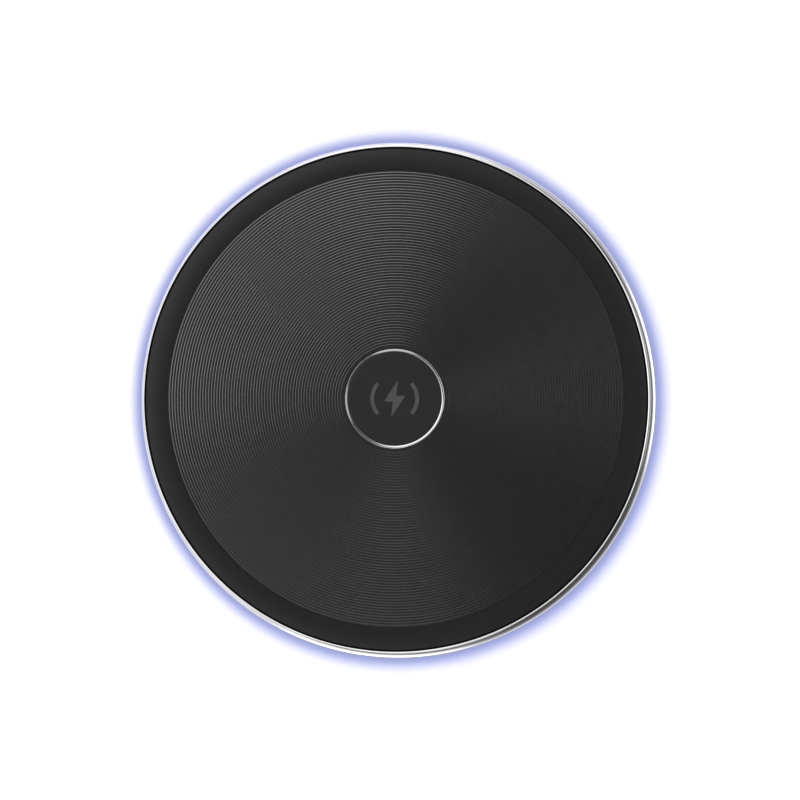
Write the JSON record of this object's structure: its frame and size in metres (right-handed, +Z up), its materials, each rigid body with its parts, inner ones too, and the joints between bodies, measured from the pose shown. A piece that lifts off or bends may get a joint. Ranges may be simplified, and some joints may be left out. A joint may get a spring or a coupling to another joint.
{
  "type": "wireless charging pad",
  "caption": "Low round wireless charging pad with a finely grooved black top, a polished side ring, a glowing ring under its edge and a USB-C inlet at the back.",
  "frame": {"origin": "centre of the surface that the pad stands on, under the badge's centre", "axes": "+Z up, out of the charging face; +Y towards the USB-C port at the back; +X to the right as the picture shows the pad"},
  "size_m": [0.1, 0.1, 0.0094],
  "materials": {
    "black_plastic": "moulded, fine concentric grooves, satin",
    "case_plastic": "fine spark-eroded texture",
    "badge_plastic": "smooth satin",
    "chrome": "polished plating",
    "steel": "plain zinc-plated or stamped",
    "aluminium": "stamped sheet",
    "enamelled_copper": null,
    "silicone": "matt, non-slip",
    "clear_guide": "milky light guide, lit blue-violet",
    "led_body": "lens and package",
    "tape": "double-sided adhesive film",
    "ferrite": "pressed ferrite, matt",
    "board": "solder mask on glass-fibre laminate",
    "chip_package": "moulded epoxy",
    "ceramic": "fired ceramic",
    "heat_pad": "soft heat-conducting pad"
  },
  "bodies": {
    "root": {"badge_tape": "tape", "bottom_case": "case_plastic", "bracket_screw_1": "steel", "bracket_screw_2": "steel", "bracket_screw_3": "steel", "bridge_ic_1": "chip_package", "bridge_ic_2": "chip_package", "case_screw_1": "steel", "case_screw_2": "steel", "case_screw_3": "steel", "case_screw_4": "steel", "centre_badge": "badge_plastic", "centre_ring": "chrome", "coil_bracket": "aluminium", "coil_tape": "tape", "controller_ic": "chip_package", "crystal": "steel", "ferrite_disc": "ferrite", "foot_ring": "silicone", "foot_tape": "tape", "input_capacitor_1": "ceramic", "input_capacitor_2": "ceramic", "led_1": "led_body", "led_2": "led_body", "led_3": "led_body", "led_4": "led_body", "led_5": "led_body", "led_6": "led_body", "led_7": "led_body", "led_8": "led_body", "light_guide": "clear_guide", "main_pcb": "board", "port_bezel": "case_plastic", "power_inductor": "ferrite", "resonant_capacitor_1": "ceramic", "resonant_capacitor_2": "ceramic", "resonant_capacitor_3": "ceramic", "resonant_capacitor_4": "ceramic", "sense_resistor": "chip_package", "thermal_pad": "heat_pad", "thermistor": "chip_package", "top_cover": "black_plastic", "trim_ring": "chrome", "tx_coil": "enamelled_copper", "usb_c_insulator": "chip_package", "usb_c_shell": "steel", "voltage_regulator": "chip_package"}
  },
  "joints": []
}
